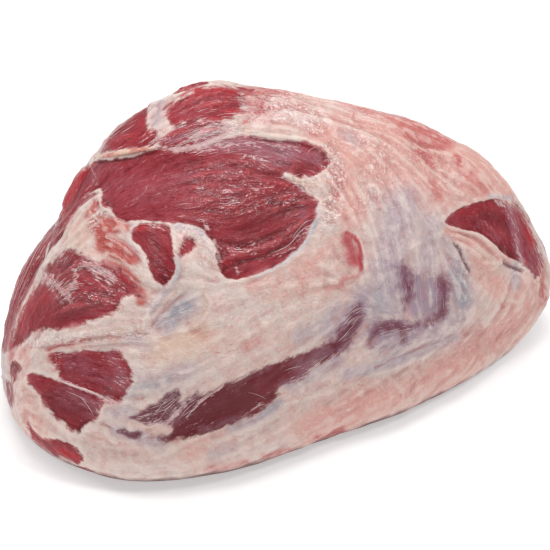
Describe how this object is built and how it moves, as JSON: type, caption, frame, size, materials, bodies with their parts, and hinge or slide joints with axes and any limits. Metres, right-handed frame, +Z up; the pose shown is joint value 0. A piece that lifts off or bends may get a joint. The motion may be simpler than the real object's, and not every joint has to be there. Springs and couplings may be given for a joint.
{
  "type": "raw veal topside",
  "caption": "Whole raw veal topside with its cap: a blunt cut end, a tapered end, red lean between seams of pale fat and silvery skin, lying on its flat side.",
  "frame": {"origin": "middle of the bounding box, on the flat side that the meat rests on", "axes": "+X from the blunt cut end to the tapered end, +Y to the back, +Z up"},
  "size_m": [0.3096, 0.1836, 0.161],
  "materials": {
    "raw_veal": null
  },
  "bodies": {
    "root": {"veal_topside": "raw_veal"}
  },
  "joints": []
}
